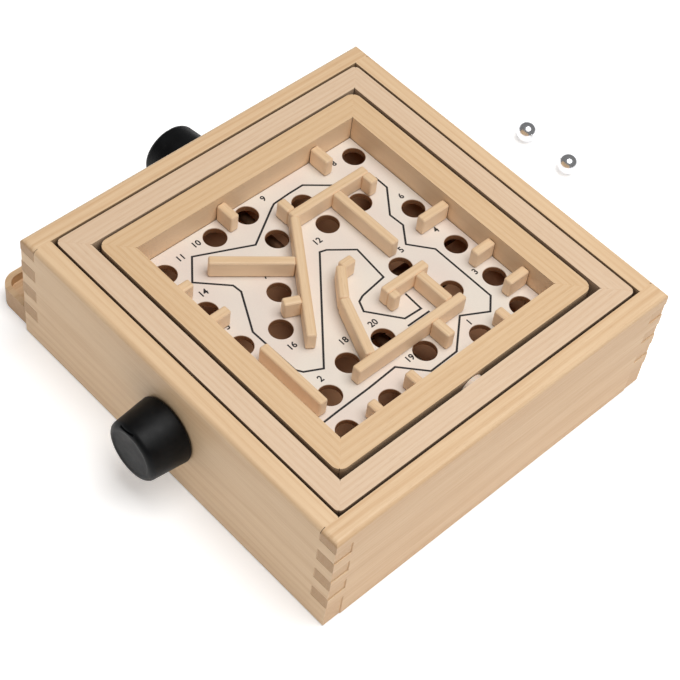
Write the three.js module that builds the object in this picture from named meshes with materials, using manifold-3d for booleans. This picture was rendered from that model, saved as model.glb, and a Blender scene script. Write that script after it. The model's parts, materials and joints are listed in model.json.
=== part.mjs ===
// Tilt maze game: a wooden case with two nested tilting frames, a maze board with
// drop holes, two knobs whose shafts tilt the frames by cord, and two steel balls.
//
// Frame: millimetres, +Z up, origin at the centre of the base's underside.
// -Y is the face with the front knob, -X the face with the left knob and the ball tray.

import * as THREE from 'three';
import { mergeVertices } from 'three/addons/utils/BufferGeometryUtils.js';
import Module from 'manifold-3d';

const wasm = await Module();
wasm.setup();

// ---------------------------------------------------------------- driving dimensions

const GAP = 0.3;                 // clearance between pieces that touch
const LAYER_GAP = 0.15;          // clearance between thin glued layers

const CASE_HALF = 105;           // half of the square case's side
const CASE_HEIGHT = 66;
const CASE_WALL = 9.8;
const CASE_INNER = CASE_HALF - CASE_WALL;
const BASE_THICK = 4;
const CASE_ROUND = 2.5;          // rounding of the case's outer top edges
const FINGERS = 9;               // corner fingers up the height
const FINGER_RECESS = 0.4;       // front and back fingers end this far below the side faces

const RING_HALF = 93.8;          // outer tilting frame
const RING_RAIL = 11.5;
const RING_DEPTH = 15;
const RING_CORNER = 3;

const BOARD_HALF = 80.2;         // frame round the maze board
const BOARD_RAIL = 12.7;
const BOARD_DEPTH = 17.5;
const BOARD_CORNER = 5;
const BOARD_SHIFT = -0.6;        // the board sits this far along its pivot pins
const BOARD_INNER = BOARD_HALF - BOARD_RAIL;

const SHEET_TOP = CASE_HEIGHT - 14;       // playing surface
const SHEET_THICK = 0.3;
const PANEL_THICK = 2.55;
const PANEL_TOP = SHEET_TOP - SHEET_THICK - LAYER_GAP;
const PANEL_LIP = 4.2;                    // how far the panel runs under the rails
const WALL_BOTTOM = SHEET_TOP + LAYER_GAP;
const WALL_TOP = CASE_HEIGHT - 4;
const WALL_WIDTH = 4.8;
const HOLE_RADIUS = 5.75;
const SHEET_HOLE_RADIUS = HOLE_RADIUS + 0.1;

const PIVOT_Z = CASE_HEIGHT - RING_DEPTH / 2;
const PIN_RADIUS = 1.5;
const PIN_REACH = 8;                      // how deep a pivot pin goes into a rail
const PIN_SOCKET = 6;                     // and how deep into a case wall
const WASHER_RADIUS = 5;
const SPACER_RADIUS = 6.5;                // the thick one in the board's wide right-hand gap

const KNOB_RADIUS = 17;                   // at the case
const KNOB_END_RADIUS = 15.3;             // at the outer face
const KNOB_LENGTH = 21;
const KNOB_ROUND = 3;
const KNOB_FOOT = 0.9;                    // small chamfer next to the case
const MARK_LENGTH = 9;                    // pointer slot cut across the outer face's rim
const MARK_WIDTH = 1;
const MARK_DEPTH = 1.6;
const MARK_OUT = KNOB_END_RADIUS - 1.7;   // from the knob's axis to the slot's middle
const MARK_ANGLE = Math.PI / 14;
const KNOB_STANDOFF = 0.8;
const KNOB_BORE_DEPTH = 13;
const SHAFT_RADIUS = 2.5;
const FRONT_SHAFT_Z = 33.5;
const LEFT_SHAFT_Z = 38.8;
const SHAFT_SOCKET = 6;                   // blind socket in the far wall
const COLLAR_RADIUS = 4;                  // clears the tilted outer frame above it
const COLLAR_WIDTH = 4;

const CORD_RADIUS = 0.5;
const CORD_AWAY = 2.4;                    // each straight run lies beside the winding
const FRONT_CORD_Y = 8;                   // where the cord is wound on the front shaft
const LEFT_CORD_X = 21;                   // where the cord is wound on the left shaft
const WINDING_WIDTH = 3.2;
const WINDING_OUTER = 3.9;
const EYE_RING = 2.4;
const EYE_WIRE = 0.7;
const EYE_SHANK = 5;
const EYE_DROP = 0.6;                     // from a rail's underside to its screw eye's loop
const SPRING_LENGTH = 14;
const SPRING_RADIUS = 1.8;
const SPRING_WIRE = 0.35;
const SPRING_TURNS = 8;

const RAMP_LOW = 7.3;                     // ramp's top surface at the exit corner
const RAMP_SLOPE = 0.035;
const RAMP_THICK = 2.5;
const SUPPORT_SIDE = 14;                  // block under the ramp's high corner
const EXIT_WIDTH = 14;
const EXIT_SIDE = 6.2;                    // upright side of the exit, below its arch
const EXIT_CENTRE_Y = -CASE_INNER + EXIT_WIDTH / 2 + 0.5;
const TRAY_REACH = 24.5;
const TRAY_FRONT_Y = -103;
const TRAY_LENGTH = 44;
const TRAY_HEIGHT = 12;
const TRAY_FLOOR = 6.8;
const TRAY_RIM = 3;
const TRAY_CORNER = 9;

const BALL_RADIUS = 5.5;
const BALL_PLACES = [[-42.3, 181.5], [-12.1, 181.6]];

// Centres of the drop holes on the playing surface.
const HOLES = [
  [-57.4, 60.1], [-14.6, 59.1], [14.3, 59.1], [39.7, 59.1], [60, 56.1],
  [-33.5, 41.7], [32.7, 37.2], [7.8, 28.6], [60, 29.3], [-49.9, 19.6],
  [-33, 19.8], [50.2, 2.4], [-60.9, -6.6], [-41, -5.3], [33.2, -7.4],
  [-59.7, -27.5], [-16.4, -26.2], [33, -29.5], [60, -28.5], [0.2, -40],
  [41.2, -47.9], [-56.9, -60], [-28.5, -59.4], [-3.9, -60], [60, -54.7],
];

// Maze strips, each as [start x, start y, end x, end y] along its middle line.
const LEFT_BRANCH = [
  [-42, 3.5, -42, 52], [-42, 49.8, -33, 49.8], [-42, 30.4, 1, 30.4], [-51, 5.9, -42, 5.9],
];
const DIAGONAL_BRANCH = [
  [-42, 6, 17, -37.5], [-18.5, -11.5, -45.3, -44.5], [-1.2, -26, -5.6, -34.5],
];
const RIGHT_BRANCH = [
  [42.8, 33, 42.8, -35], [18.3, 26.2, 42.8, 26.2], [18.3, 33, 18.3, 6], [16, 8.4, 25, 8.4],
  [42.8, 12.2, 56, 12.2], [-5, 1, 10.5, -11], [9.5, -11, 42.8, -24.5], [-6.6, 6.5, 1, 6.5],
  [-5, 0.5, -5, 8],
];
const BOTTOM_STRIP = [7, -57.8, 47, -57.8];
const SOUTH = -BOARD_INNER + GAP;
const NORTH = BOARD_INNER - GAP;
const WEST = BOARD_SHIFT - BOARD_INNER + GAP;
const EAST = BOARD_SHIFT + BOARD_INNER - GAP;
const STUBS = {
  stub_left_upper: [WEST, 41.8, -56, 41.8],
  stub_left_lower: [WEST, -17.7, -57, -17.7],
  stub_back_left: [-2.2, NORTH, -2.2, 50],
  stub_back_middle: [28.3, NORTH, 28.3, 55],
  stub_back_right: [50.3, NORTH, 50.3, 54.5],
  stub_right_upper: [EAST, 39.3, 58.5, 39.3],
  stub_right_middle: [EAST, -17.7, 58, -17.7],
  stub_right_lower: [EAST, -41.7, 59, -41.7],
  stub_front_left: [-40.2, SOUTH, -40.2, -59],
  stub_front_right: [-18.2, SOUTH, -18.2, -56],
};

// ---------------------------------------------------------------- materials

const material = (color, roughness, metalness = 0) =>
  new THREE.MeshStandardMaterial({ color, roughness, metalness });

const PINE = material(0xe3c097, 0.6);
const PLYWOOD = material(0xcfab7d, 0.7);
const PAPER = material(0xf0e8dd, 0.85);
const BLACK_PLASTIC = material(0x2e2f30, 0.45);
const WASHER_PLASTIC = material(0xe9dcc6, 0.5);
const STEEL = material(0xc4c6c8, 0.25, 1);
const BRASS = material(0xc9a45a, 0.35, 1);
const CORD = material(0x2a2623, 0.9);

// ---------------------------------------------------------------- solids

const group = new THREE.Group();

function solid(geometry) {
  const bare = geometry.clone();
  bare.deleteAttribute('normal');
  bare.deleteAttribute('uv');
  const merged = mergeVertices(bare, 1e-4);
  return new wasm.Manifold(new wasm.Mesh({
    numProp: 3,
    vertProperties: new Float32Array(merged.attributes.position.array),
    triVerts: new Uint32Array(merged.index.array),
  }));
}

function geometryOf(manifold) {
  const mesh = manifold.getMesh();
  const geometry = new THREE.BufferGeometry();
  geometry.setAttribute('position', new THREE.BufferAttribute(mesh.vertProperties, 3));
  geometry.setIndex(new THREE.BufferAttribute(mesh.triVerts, 1));
  geometry.computeVertexNormals();
  return geometry;
}

function add(name, shape, look) {
  const geometry = shape.isBufferGeometry ? shape : geometryOf(shape);
  const mesh = new THREE.Mesh(geometry, look.clone());
  mesh.name = name;
  group.add(mesh);
  return mesh;
}

function boxGeometry(x0, x1, y0, y1, z0, z1) {
  const box = new THREE.BoxGeometry(Math.abs(x1 - x0), Math.abs(y1 - y0), Math.abs(z1 - z0));
  return box.translate((x0 + x1) / 2, (y0 + y1) / 2, (z0 + z1) / 2);
}

const box = (...limits) => solid(boxGeometry(...limits));

// A cylinder between two points.
function rodGeometry(from, to, radius, segments = 16) {
  const start = new THREE.Vector3(...from);
  const end = new THREE.Vector3(...to);
  const along = end.clone().sub(start);
  const rod = new THREE.CylinderGeometry(radius, radius, along.length(), segments);
  const turn = new THREE.Quaternion();
  turn.setFromUnitVectors(new THREE.Vector3(0, 1, 0), along.clone().normalize());
  rod.applyQuaternion(turn);
  return rod.translate(...start.add(end).multiplyScalar(0.5).toArray());
}

const rod = (from, to, radius, segments) => solid(rodGeometry(from, to, radius, segments));

const unionOf = (shapes) => shapes.reduce((sum, shape) => sum.add(shape));
const cutFrom = (body, cuts) => cuts.reduce((rest, cut) => rest.subtract(cut), body);

// A closed lathe about the local Y axis, moved onto a shaft along X or Y.
function latheOn(axis, profile, segments) {
  const points = profile.map(([radius, along]) => new THREE.Vector2(radius, along));
  const lathe = new THREE.LatheGeometry(points, segments);
  if (axis === 'x') lathe.rotateZ(-Math.PI / 2);
  return lathe;
}

function ringProfile(inner, outer, from, to) {
  return [[inner, from], [outer, from], [outer, to], [inner, to], [inner, from]];
}

function roundedSquare(half, radius) {
  const shape = new THREE.Shape();
  const inset = half - radius;
  shape.absarc(inset, -inset, radius, -Math.PI / 2, 0, false);
  shape.absarc(inset, inset, radius, 0, Math.PI / 2, false);
  shape.absarc(-inset, inset, radius, Math.PI / 2, Math.PI, false);
  shape.absarc(-inset, -inset, radius, Math.PI, 1.5 * Math.PI, false);
  shape.closePath();
  return shape;
}

function prism(shape, bottom, top, curveSegments = 6) {
  const geometry = new THREE.ExtrudeGeometry(shape, {
    depth: top - bottom, bevelEnabled: false, curveSegments,
  });
  return geometry.translate(0, 0, bottom);
}

// ---------------------------------------------------------------- case

// The case's outer block with its top edges rounded, which the walls are cut back to.
function roundedBlock() {
  const side = new THREE.Shape();
  const inset = CASE_HALF - CASE_ROUND;
  const shoulder = CASE_HEIGHT - CASE_ROUND;
  side.moveTo(-CASE_HALF, 0);
  side.lineTo(CASE_HALF, 0);
  side.lineTo(CASE_HALF, shoulder);
  side.absarc(inset, shoulder, CASE_ROUND, 0, Math.PI / 2, false);
  side.absarc(-inset, shoulder, CASE_ROUND, Math.PI / 2, Math.PI, false);
  side.closePath();
  const alongY = prism(side, -CASE_HALF, CASE_HALF, 5).rotateX(Math.PI / 2);
  const alongX = alongY.clone().rotateZ(Math.PI / 2);
  return solid(alongY).intersect(solid(alongX));
}

// A wall standing along the +Y side, then turned by quarters to its own side. Its ends
// are notched for the fingers of the walls beside it; the lowest finger is a double one.
function fingeredWall(quarter, halfLength, firstNotch, block) {
  const plank = box(-halfLength, halfLength, CASE_INNER, CASE_HALF, 0, CASE_HEIGHT);
  const pitch = CASE_HEIGHT / FINGERS;
  const notches = [];
  for (let finger = firstNotch; finger < FINGERS; finger += 2) {
    const low = finger === 1 ? -1 : finger * pitch - GAP / 2;
    const high = finger === FINGERS - 1 ? CASE_HEIGHT + 1 : (finger + 1) * pitch + GAP / 2;
    for (const side of [-1, 1]) {
      notches.push(box(side * (CASE_INNER - GAP), side * (CASE_HALF + 1),
        CASE_INNER - 1, CASE_HALF + 1, low, high));
    }
  }
  const wall = geometryOf(cutFrom(plank, notches)).rotateZ((quarter * Math.PI) / 2);
  return solid(wall).intersect(block);
}

const sleeve = (from, to, radius) => rod(from, to, radius + GAP, 20);

// The front and back walls hold the outer frame's pivot pins and the front knob's shaft.
function frontOrBackWall(side, block) {
  const wall = fingeredWall(side < 0 ? 2 : 0, CASE_HALF - FINGER_RECESS, 2, block);
  const inside = side * (CASE_INNER - 1);
  const pinEnd = side * (CASE_INNER + PIN_SOCKET + GAP);
  const shaftEnd = side < 0 ? -CASE_HALF - 1 : CASE_INNER + SHAFT_SOCKET + GAP;
  return cutFrom(wall, [
    sleeve([0, inside, PIVOT_Z], [0, pinEnd, PIVOT_Z], PIN_RADIUS),
    sleeve([0, inside, FRONT_SHAFT_Z], [0, shaftEnd, FRONT_SHAFT_Z], SHAFT_RADIUS),
  ]);
}

// The left and right walls hold the left knob's shaft.
function leftOrRightWall(side, block) {
  const wall = fingeredWall(side < 0 ? 1 : 3, CASE_HALF, 1, block);
  const shaftEnd = side < 0 ? -CASE_HALF - 1 : CASE_INNER + SHAFT_SOCKET + GAP;
  return wall.subtract(sleeve([side * (CASE_INNER - 1), 0, LEFT_SHAFT_Z], [shaftEnd, 0, LEFT_SHAFT_Z],
    SHAFT_RADIUS));
}

// The arched hole through which a dropped ball rolls out to the tray.
function ballExit() {
  const half = EXIT_WIDTH / 2;
  const arch = RAMP_LOW + EXIT_SIDE;
  const from = -CASE_HALF - 1;
  const to = -CASE_INNER + 1;
  const slot = box(from, to, EXIT_CENTRE_Y - half, EXIT_CENTRE_Y + half, RAMP_LOW, arch);
  const top = rod([from, EXIT_CENTRE_Y, arch], [to, EXIT_CENTRE_Y, arch], half, 32);
  return slot.add(top);
}

function ballRamp() {
  const half = CASE_INNER - GAP;
  const plate = boxGeometry(-half, half, -half, half, RAMP_LOW - RAMP_THICK, RAMP_LOW);
  const position = plate.attributes.position;
  for (let i = 0; i < position.count; i += 1) {
    const rise = RAMP_SLOPE * (position.getX(i) + position.getY(i) + 2 * half);
    position.setZ(i, position.getZ(i) + rise);
  }
  return solid(plate);
}

function rampSupport() {
  const outer = CASE_INNER - 2 * GAP;
  const inner = outer - SUPPORT_SIDE;
  const top = RAMP_LOW - RAMP_THICK - GAP + RAMP_SLOPE * 2 * (inner + CASE_INNER - GAP);
  return boxGeometry(inner, outer, inner, outer, BASE_THICK + GAP, top);
}

function trayOutline(inset) {
  const right = -CASE_HALF - GAP + (inset ? 1 : 0);
  const left = -CASE_HALF - TRAY_REACH + inset;
  const front = TRAY_FRONT_Y + inset;
  const back = TRAY_FRONT_Y + TRAY_LENGTH - inset;
  const radius = TRAY_CORNER - inset;
  const shape = new THREE.Shape();
  shape.moveTo(right, front);
  shape.lineTo(right, back);
  shape.lineTo(left + radius, back);
  shape.absarc(left + radius, back - radius, radius, Math.PI / 2, Math.PI, false);
  shape.absarc(left + radius, front + radius, radius, Math.PI, 1.5 * Math.PI, false);
  shape.closePath();
  return shape;
}

function ballTray() {
  const block = solid(prism(trayOutline(0), 0, TRAY_HEIGHT, 10));
  return block.subtract(solid(prism(trayOutline(TRAY_RIM), TRAY_FLOOR, TRAY_HEIGHT + 1, 10)));
}

function buildCase() {
  const block = roundedBlock();
  add('case_wall_front', frontOrBackWall(-1, block), PINE);
  add('case_wall_back', frontOrBackWall(1, block), PINE);
  add('case_wall_left', leftOrRightWall(-1, block).subtract(ballExit()), PINE);
  add('case_wall_right', leftOrRightWall(1, block), PINE);
  const half = CASE_INNER - GAP;
  add('base_panel', boxGeometry(-half, half, -half, half, 0, BASE_THICK), PLYWOOD);
  add('ball_ramp', ballRamp(), PLYWOOD);
  add('ramp_support', rampSupport(), PINE);
  add('ball_tray', ballTray(), PINE);
}

// ---------------------------------------------------------------- tilting frames

// Four mitred rails of a square frame, in the order front, right, back, left.
function mitredRails(half, rail, bottom, corner, shift) {
  const inner = half - rail;
  const frame = solid(prism(roundedSquare(half, corner), bottom, CASE_HEIGHT).translate(shift, 0, 0))
    .subtract(box(shift - inner, shift + inner, -inner, inner, bottom - 1, CASE_HEIGHT + 1));
  const reach = 2 * half;
  const joint = GAP / Math.SQRT2;
  return [0, 1, 2, 3].map((quarter) => {
    const wedge = new THREE.Shape();
    wedge.moveTo(0, -joint);
    wedge.lineTo(-reach, -reach - joint);
    wedge.lineTo(reach, -reach - joint);
    wedge.closePath();
    const sector = prism(wedge, bottom - 1, CASE_HEIGHT + 1).rotateZ((quarter * Math.PI) / 2);
    return frame.intersect(solid(sector.translate(shift, 0, 0)));
  });
}

const SIDES = ['front', 'right', 'back', 'left'];

function pinNamed(name, from, to) {
  add(name, rodGeometry(from, to, PIN_RADIUS, 16), STEEL);
}

function spacer(name, axis, from, to, radius) {
  const ring = latheOn(axis, ringProfile(PIN_RADIUS + GAP, radius, from, to), 24);
  add(name, ring.translate(0, 0, PIVOT_Z), WASHER_PLASTIC);
}

function screwEye(name, x, y, underside, turned) {
  const centre = underside - EYE_DROP - EYE_RING - EYE_WIRE;
  const loop = new THREE.TorusGeometry(EYE_RING, EYE_WIRE, 6, 14);
  loop.rotateX(Math.PI / 2);
  if (turned) loop.rotateZ(Math.PI / 2);
  const shank = rod([x, y, centre + EYE_RING], [x, y, underside + EYE_SHANK], EYE_WIRE, 10);
  add(name, solid(loop.translate(x, y, centre)).add(shank), BRASS);
  return centre;
}

const eyeHole = (x, y, underside) =>
  rod([x, y, underside - 1], [x, y, underside + EYE_SHANK + GAP], EYE_WIRE + GAP, 12);

class Helix extends THREE.Curve {
  constructor(start, end, radius, turns) {
    super();
    this.start = start;
    this.along = end.clone().sub(start);
    this.radius = radius;
    this.turns = turns;
    this.side = new THREE.Vector3(0, 0, 1).cross(this.along).normalize();
    this.up = this.along.clone().cross(this.side).normalize();
  }

  getPoint(t, target = new THREE.Vector3()) {
    const angle = 2 * Math.PI * this.turns * t;
    return target.copy(this.start)
      .addScaledVector(this.along, t)
      .addScaledVector(this.side, this.radius * Math.cos(angle))
      .addScaledVector(this.up, this.radius * Math.sin(angle));
  }
}

function springBetween(name, start, end) {
  const wire = new THREE.Shape();
  wire.absarc(0, 0, SPRING_WIRE, 0, 2 * Math.PI, false);
  const path = new Helix(start, end, SPRING_RADIUS, SPRING_TURNS);
  const geometry = new THREE.ExtrudeGeometry(wire, {
    steps: 10 * SPRING_TURNS, curveSegments: 3, extrudePath: path,
  });
  add(name, geometry, STEEL);
}

// One straight run of cord from under a shaft to a screw eye, with a spring at its
// outer end where wanted.
function cordRun(name, start, eye, springName) {
  const from = new THREE.Vector3(...start);
  const target = new THREE.Vector3(...eye);
  const direction = target.clone().sub(from).normalize();
  const stop = target.clone().addScaledVector(direction, -(EYE_RING + EYE_WIRE + GAP + CORD_RADIUS));
  if (springName) {
    const springStart = stop.clone().addScaledVector(direction, -SPRING_LENGTH);
    springBetween(springName, springStart, stop);
    stop.copy(springStart).addScaledVector(direction, -(SPRING_WIRE + GAP + 0.2));
  }
  add(name, rodGeometry(from.toArray(), stop.toArray(), CORD_RADIUS, 8), CORD);
}

function buildRing() {
  const bottom = CASE_HEIGHT - RING_DEPTH;
  const rails = mitredRails(RING_HALF, RING_RAIL, bottom, RING_CORNER, 0);
  const inner = RING_HALF - RING_RAIL;
  const eyeX = RING_HALF - RING_RAIL / 2;
  const boardOuter = [BOARD_SHIFT - BOARD_HALF, BOARD_SHIFT + BOARD_HALF];
  const cordStart = FRONT_SHAFT_Z - SHAFT_RADIUS - 2 * GAP - CORD_RADIUS;

  SIDES.forEach((side, index) => {
    const sign = side === 'front' || side === 'left' ? -1 : 1;
    let cuts;
    if (side === 'front' || side === 'back') {
      cuts = [sleeve([0, sign * (RING_HALF + 1), PIVOT_Z],
        [0, sign * (RING_HALF - PIN_REACH - GAP), PIVOT_Z], PIN_RADIUS)];
    } else {
      const eyeY = FRONT_CORD_Y - sign * CORD_AWAY;
      cuts = [
        sleeve([sign * (inner - 1), 0, PIVOT_Z], [sign * (inner + PIN_REACH + GAP), 0, PIVOT_Z],
          PIN_RADIUS),
        eyeHole(sign * eyeX, eyeY, bottom),
      ];
      const eyeZ = screwEye(`ring_screw_eye_${side}`, sign * eyeX, eyeY, bottom, false);
      cordRun(`ring_cord_${side}`, [sign, eyeY, cordStart], [sign * eyeX, eyeY, eyeZ],
        side === 'right' ? 'ring_cord_spring' : null);
    }
    add(`ring_rail_${side}`, cutFrom(rails[index], cuts), PINE);
  });

  pinNamed('ring_pivot_pin_front', [0, -CASE_INNER - PIN_SOCKET, PIVOT_Z],
    [0, -RING_HALF + PIN_REACH, PIVOT_Z]);
  pinNamed('ring_pivot_pin_back', [0, CASE_INNER + PIN_SOCKET, PIVOT_Z],
    [0, RING_HALF - PIN_REACH, PIVOT_Z]);
  spacer('ring_spacer_front', 'y', -CASE_INNER + GAP, -RING_HALF - GAP, WASHER_RADIUS);
  spacer('ring_spacer_back', 'y', RING_HALF + GAP, CASE_INNER - GAP, WASHER_RADIUS);
  pinNamed('board_pivot_pin_left', [-inner - PIN_REACH, 0, PIVOT_Z], [boardOuter[0] + PIN_REACH, 0, PIVOT_Z]);
  pinNamed('board_pivot_pin_right', [inner + PIN_REACH, 0, PIVOT_Z], [boardOuter[1] - PIN_REACH, 0, PIVOT_Z]);
}

function mazeOutline(half, holeRadius) {
  const shape = new THREE.Shape();
  const left = BOARD_SHIFT - half;
  const right = BOARD_SHIFT + half;
  shape.moveTo(left, -half);
  shape.lineTo(right, -half);
  shape.lineTo(right, half);
  shape.lineTo(left, half);
  shape.closePath();
  for (const [x, y] of HOLES) {
    const hole = new THREE.Path();
    hole.absarc(x, y, holeRadius, 0, 2 * Math.PI, true);
    shape.holes.push(hole);
  }
  return shape;
}

function buildBoard() {
  const bottom = CASE_HEIGHT - BOARD_DEPTH;
  const panelHalf = BOARD_INNER + PANEL_LIP;
  const rabbetHalf = panelHalf + GAP;
  const rabbet = box(BOARD_SHIFT - rabbetHalf, BOARD_SHIFT + rabbetHalf, -rabbetHalf, rabbetHalf,
    bottom - 1, PANEL_TOP + GAP);
  const rails = mitredRails(BOARD_HALF, BOARD_RAIL, bottom, BOARD_CORNER, BOARD_SHIFT);
  const ringInner = RING_HALF - RING_RAIL;
  const eyeY = BOARD_HALF - (BOARD_RAIL - PANEL_LIP) / 2;
  const cordStart = LEFT_SHAFT_Z - SHAFT_RADIUS - 2 * GAP - CORD_RADIUS;

  SIDES.forEach((side, index) => {
    const sign = side === 'front' || side === 'left' ? -1 : 1;
    const cuts = [rabbet];
    if (side === 'left' || side === 'right') {
      const outer = BOARD_SHIFT + sign * BOARD_HALF;
      cuts.push(sleeve([outer + sign, 0, PIVOT_Z], [outer - sign * (PIN_REACH + GAP), 0, PIVOT_Z],
        PIN_RADIUS));
    } else {
      const eyeX = LEFT_CORD_X + sign * CORD_AWAY;
      cuts.push(eyeHole(eyeX, sign * eyeY, bottom));
      const eyeZ = screwEye(`board_screw_eye_${side}`, eyeX, sign * eyeY, bottom, true);
      cordRun(`board_cord_${side}`, [eyeX, sign, cordStart], [eyeX, sign * eyeY, eyeZ],
        side === 'back' ? 'board_cord_spring' : null);
    }
    add(`board_rail_${side}`, cutFrom(rails[index], cuts), PINE);
  });

  spacer('board_spacer_left', 'x', -ringInner + GAP, BOARD_SHIFT - BOARD_HALF - GAP, WASHER_RADIUS);
  spacer('board_spacer_right', 'x', BOARD_SHIFT + BOARD_HALF + GAP, ringInner - GAP, SPACER_RADIUS);
  const panel = prism(mazeOutline(panelHalf, HOLE_RADIUS), PANEL_TOP - PANEL_THICK, PANEL_TOP, 8);
  add('maze_board', panel, PLYWOOD);
  const sheetBottom = SHEET_TOP - SHEET_THICK;
  const sheet = prism(mazeOutline(BOARD_INNER - GAP, SHEET_HOLE_RADIUS), sheetBottom, SHEET_TOP, 8);
  add('maze_sheet', sheet, PAPER);
}

// ---------------------------------------------------------------- maze walls

function strip([x0, y0, x1, y1], grow = 0) {
  const length = Math.hypot(x1 - x0, y1 - y0) + 2 * grow;
  const height = WALL_TOP - WALL_BOTTOM + 2 * grow;
  const bar = new THREE.BoxGeometry(length, WALL_WIDTH + 2 * grow, height);
  bar.rotateZ(Math.atan2(y1 - y0, x1 - x0));
  return solid(bar.translate((x0 + x1) / 2, (y0 + y1) / 2, (WALL_BOTTOM + WALL_TOP) / 2));
}

function buildMazeWalls() {
  const leftBranch = unionOf(LEFT_BRANCH.map((line) => strip(line)));
  const room = LEFT_BRANCH.map((line) => strip(line, GAP));
  const diagonal = unionOf(DIAGONAL_BRANCH.map((line) => strip(line)));
  add('maze_wall_left', leftBranch, PINE);
  add('maze_wall_diagonal', cutFrom(diagonal, room), PINE);
  add('maze_wall_right', unionOf(RIGHT_BRANCH.map((line) => strip(line))), PINE);
  add('maze_wall_front', strip(BOTTOM_STRIP), PINE);
  for (const [name, line] of Object.entries(STUBS)) add(`maze_${name}`, strip(line), PINE);
}

// ---------------------------------------------------------------- knobs and shafts

// The knob's section, from its outer face at -KNOB_LENGTH to the case at 0.
function knobProfile() {
  const outer = -KNOB_LENGTH;
  const bore = SHAFT_RADIUS + GAP;
  const profile = [[0, outer]];
  const steps = 5;
  for (let i = 0; i <= steps; i += 1) {
    const angle = (i / steps) * (Math.PI / 2);
    profile.push([
      KNOB_END_RADIUS - KNOB_ROUND + KNOB_ROUND * Math.sin(angle),
      outer + KNOB_ROUND - KNOB_ROUND * Math.cos(angle),
    ]);
  }
  profile.push([KNOB_RADIUS, -KNOB_FOOT], [KNOB_RADIUS - KNOB_FOOT, 0]);
  profile.push([bore, 0], [bore, -KNOB_BORE_DEPTH], [0, -KNOB_BORE_DEPTH]);
  return profile;
}

// A knob with its base at the origin, standing out along -Y or -X.
function knobOn(axis) {
  const outer = -KNOB_LENGTH;
  const slot = boxGeometry(-MARK_LENGTH / 2, MARK_LENGTH / 2, outer - 1, outer + MARK_DEPTH,
    MARK_OUT - MARK_WIDTH / 2, MARK_OUT + MARK_WIDTH / 2).rotateY(-MARK_ANGLE);
  if (axis === 'x') slot.rotateZ(-Math.PI / 2);
  return solid(latheOn(axis, knobProfile(), 36)).subtract(solid(slot));
}

// A knob, its shaft, a collar inside the wall and the cord wound on it.
function buildDrive(side, axis, height, windingAt) {
  const place = (geometry, along) => (axis === 'y'
    ? geometry.translate(0, along, height)
    : geometry.translate(along, 0, height));
  const point = (along) => (axis === 'y' ? [0, along, height] : [along, 0, height]);
  const face = -CASE_HALF - KNOB_STANDOFF;
  add(`knob_${side}`, place(geometryOf(knobOn(axis)), face), BLACK_PLASTIC);
  add(`shaft_${side}`, rodGeometry(point(face - KNOB_BORE_DEPTH + GAP), point(CASE_INNER + SHAFT_SOCKET),
    SHAFT_RADIUS, 24), STEEL);
  const inner = SHAFT_RADIUS + GAP;
  const collar = latheOn(axis, ringProfile(inner, COLLAR_RADIUS, 0, COLLAR_WIDTH), 24);
  add(`shaft_collar_${side}`, place(collar, -CASE_INNER + 2 * GAP), STEEL);
  const half = WINDING_WIDTH / 2;
  const winding = latheOn(axis, ringProfile(inner, WINDING_OUTER, -half, half), 20);
  add(`cord_winding_${side}`, place(winding, windingAt), CORD);
}

// ---------------------------------------------------------------- balls

function buildBalls() {
  BALL_PLACES.forEach(([x, y], index) => {
    const ball = new THREE.SphereGeometry(BALL_RADIUS, 18, 12);
    ball.rotateX(Math.PI / 2);
    const mesh = add(`ball_${index + 1}`, ball, STEEL);
    mesh.position.set(x, y, BALL_RADIUS);
  });
}

buildCase();
buildRing();
buildBoard();
buildMazeWalls();
buildDrive('front', 'y', FRONT_SHAFT_Z, FRONT_CORD_Y);
buildDrive('left', 'x', LEFT_SHAFT_Z, LEFT_CORD_X);
buildBalls();

export default group;
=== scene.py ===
"""Looks for the tilt maze game: wood, paper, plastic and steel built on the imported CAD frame."""
import json
import math
import random

import bmesh
import bpy
from mathutils import Matrix, Vector


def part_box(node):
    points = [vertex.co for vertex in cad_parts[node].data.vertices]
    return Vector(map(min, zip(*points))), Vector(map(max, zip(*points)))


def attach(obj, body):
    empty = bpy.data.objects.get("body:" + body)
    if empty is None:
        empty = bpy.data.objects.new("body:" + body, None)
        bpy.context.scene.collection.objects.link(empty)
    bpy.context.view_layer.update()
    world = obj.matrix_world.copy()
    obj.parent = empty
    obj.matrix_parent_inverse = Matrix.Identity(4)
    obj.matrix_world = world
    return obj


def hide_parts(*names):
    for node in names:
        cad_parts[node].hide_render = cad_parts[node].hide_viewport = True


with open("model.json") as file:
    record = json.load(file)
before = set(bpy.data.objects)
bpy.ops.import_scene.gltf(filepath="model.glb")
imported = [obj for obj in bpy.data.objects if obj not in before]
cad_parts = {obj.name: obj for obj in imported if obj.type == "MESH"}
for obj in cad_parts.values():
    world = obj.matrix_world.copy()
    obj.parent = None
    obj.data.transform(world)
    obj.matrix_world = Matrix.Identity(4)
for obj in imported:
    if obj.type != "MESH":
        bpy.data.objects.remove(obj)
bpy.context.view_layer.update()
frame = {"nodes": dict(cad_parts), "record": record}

MM = 0.001
NODES = frame["nodes"]
RECORD = frame["record"]
RANDOM = random.Random(7)

# ---------------------------------------------------------------- sizes, in mm

SHEET_TOP = 52.0
SHEET_THICK = 0.3
PANEL_TOP = 51.55
PANEL_THICK = 2.55
INK_THICK = 0.05
STRIP_TOP = 62.0
STRIP_BOTTOM = 52.1
STRIP_WIDTH = 4.8
HOLE_RADIUS = 5.75
HOLE_SIDES = 64
BALL_RADIUS = 5.5
CASE_HALF = 105.0
CASE_INNER = 95.2
CASE_TOP = 66.0
CASE_ROUND = 2.5
RAIL_BEVEL = 0.3
CASE_BEVEL = 0.25
STRIP_ROUND = 1.0

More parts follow.
